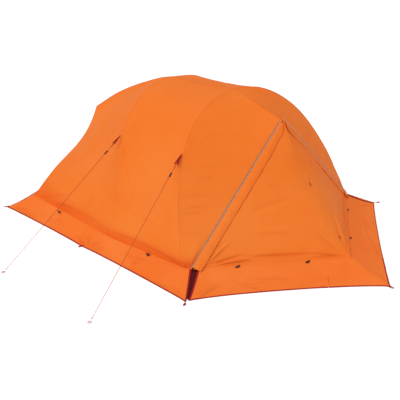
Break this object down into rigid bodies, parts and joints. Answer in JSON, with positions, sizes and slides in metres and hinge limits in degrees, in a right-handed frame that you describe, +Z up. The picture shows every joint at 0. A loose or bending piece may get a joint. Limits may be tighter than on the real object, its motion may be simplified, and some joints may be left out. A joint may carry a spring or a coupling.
{
  "type": "two-person tent",
  "caption": "Low mountain tent: fly with snow skirts over two leaning hoop poles and a ridge pole, inner tent, two-door vestibule and guy lines.",
  "frame": {"origin": "centre of the tent's footprint on the ground, leaving out the guy lines", "axes": "+X along the tent towards the vestibule, +Z up, guy lines on the -Y side"},
  "size_m": [3.54, 2.8187, 1.088],
  "materials": {
    "fly_fabric": "orange coated ripstop nylon, soft satin sheen",
    "skirt_fabric": "lighter orange coated nylon, matt",
    "red_webbing": "crimson woven polyester webbing",
    "guy_cord": "braided crimson cord",
    "red_trim": "moulded red plastic",
    "pole_alloy": "gold anodised aluminium tube",
    "black_plastic": "moulded black nylon",
    "zip_coil": "nylon coil zip on dark red tape",
    "inner_fabric": "cream breathable nylon",
    "floor_fabric": "grey coated taffeta"
  },
  "bodies": {
    "tent": {"fly_front_left": "fly_fabric", "fly_front_right": "fly_fabric", "fly_middle_left": "fly_fabric", "fly_middle_right": "fly_fabric", "fly_rear_left": "fly_fabric", "fly_rear_right": "fly_fabric", "fly_tail_left": "fly_fabric", "fly_tail_right": "fly_fabric", "skirt_side_left": "skirt_fabric", "skirt_side_right": "skirt_fabric", "skirt_tail_left": "skirt_fabric", "skirt_tail_right": "skirt_fabric", "skirt_tip": "skirt_fabric", "zip_chain_left": "zip_coil", "zip_chain_right": "zip_coil", "front_hoop_section_1": "pole_alloy", "front_hoop_section_2": "pole_alloy", "front_hoop_section_3": "pole_alloy", "front_hoop_section_4": "pole_alloy", "rear_hoop_section_1": "pole_alloy", "rear_hoop_section_2": "pole_alloy", "rear_hoop_section_3": "pole_alloy", "rear_hoop_section_4": "pole_alloy", "ridge_pole_section_1": "pole_alloy", "ridge_pole_section_2": "pole_alloy", "ridge_pole_section_3": "pole_alloy", "crossing_clip_front": "black_plastic", "crossing_clip_rear": "black_plastic", "inner_floor": "floor_fabric", "inner_tub_wall": "floor_fabric", "inner_side_left": "inner_fabric", "inner_side_right": "inner_fabric", "inner_tail": "inner_fabric", "inner_front_wall": "inner_fabric", "pole_foot_tab_front_left": "red_webbing", "pole_foot_tab_front_right": "red_webbing", "pole_foot_tab_rear_left": "red_webbing", "pole_foot_tab_rear_right": "red_webbing", "stake_loop_front": "red_webbing", "stake_loop_rear": "red_webbing", "guy_tab_front": "red_webbing", "guy_tab_rear": "red_webbing", "guy_line_front": "guy_cord", "guy_line_rear": "guy_cord", "guy_end_loop_front": "guy_cord", "guy_end_loop_rear": "guy_cord"},
    "door_left": {"door_panel_left": "fly_fabric", "door_skirt_left": "skirt_fabric", "storm_flap_left": "fly_fabric"},
    "slider_left": {"zip_slider_left": "red_trim"},
    "door_right": {"door_panel_right": "fly_fabric", "door_skirt_right": "skirt_fabric", "storm_flap_right": "fly_fabric"},
    "slider_right": {"zip_slider_right": "red_trim"},
    "inner_door_panel": {"inner_door": "inner_fabric"},
    "inner_slider": {"inner_zip_slider": "black_plastic"},
    "tensioner_front": {"guy_tensioner_front": "black_plastic"},
    "tensioner_rear": {"guy_tensioner_rear": "black_plastic"},
    "toggle_upper": {"crease_toggle_upper": "red_trim"},
    "toggle_lower": {"crease_toggle_lower": "red_trim"}
  },
  "joints": [
    {"name": "door_left_swing", "type": "hinge", "parent": "tent", "child": "door_left", "pos_m": [1.419, 0, 0.1], "axis": [-0.6092, 0, 0.793], "range_deg": [0, 90]},
    {"name": "door_right_swing", "type": "hinge", "parent": "tent", "child": "door_right", "pos_m": [1.419, 0, 0.1], "axis": [0.6092, 0, -0.793], "range_deg": [0, 90]},
    {"name": "zip_left_slide", "type": "slide", "parent": "tent", "child": "slider_left", "axis": [0.013, 0.7231, 0.6906], "range_m": [0, 1.05]},
    {"name": "zip_right_slide", "type": "slide", "parent": "tent", "child": "slider_right", "axis": [0.013, -0.7231, 0.6906], "range_m": [0, 1.05]},
    {"name": "inner_door_drop", "type": "hinge", "parent": "tent", "child": "inner_door_panel", "pos_m": [0.65814, 0, 0.12829], "axis": [0, -1, 0], "range_deg": [0, 64]},
    {"name": "inner_zip_slide", "type": "slide", "parent": "tent", "child": "inner_slider", "axis": [-0.377, 0, 0.9262], "range_m": [0, 0.42]},
    {"name": "tensioner_front_slide", "type": "slide", "parent": "tent", "child": "tensioner_front", "axis": [0.1657, -0.7801, -0.6034], "range_m": [-0.035, 0.9]},
    {"name": "tensioner_rear_slide", "type": "slide", "parent": "tent", "child": "tensioner_rear", "axis": [-0.0199, -0.8232, -0.5675], "range_m": [-0.035, 0.9]},
    {"name": "toggle_upper_swing", "type": "hinge", "parent": "tent", "child": "toggle_upper", "pos_m": [1.01994, 0, 0.55659], "axis": [0, -1, 0], "range_deg": [0, 60]},
    {"name": "toggle_lower_swing", "type": "hinge", "parent": "tent", "child": "toggle_lower", "pos_m": [1.29625, 0, 0.23579], "axis": [0, -1, 0], "range_deg": [0, 60]}
  ]
}
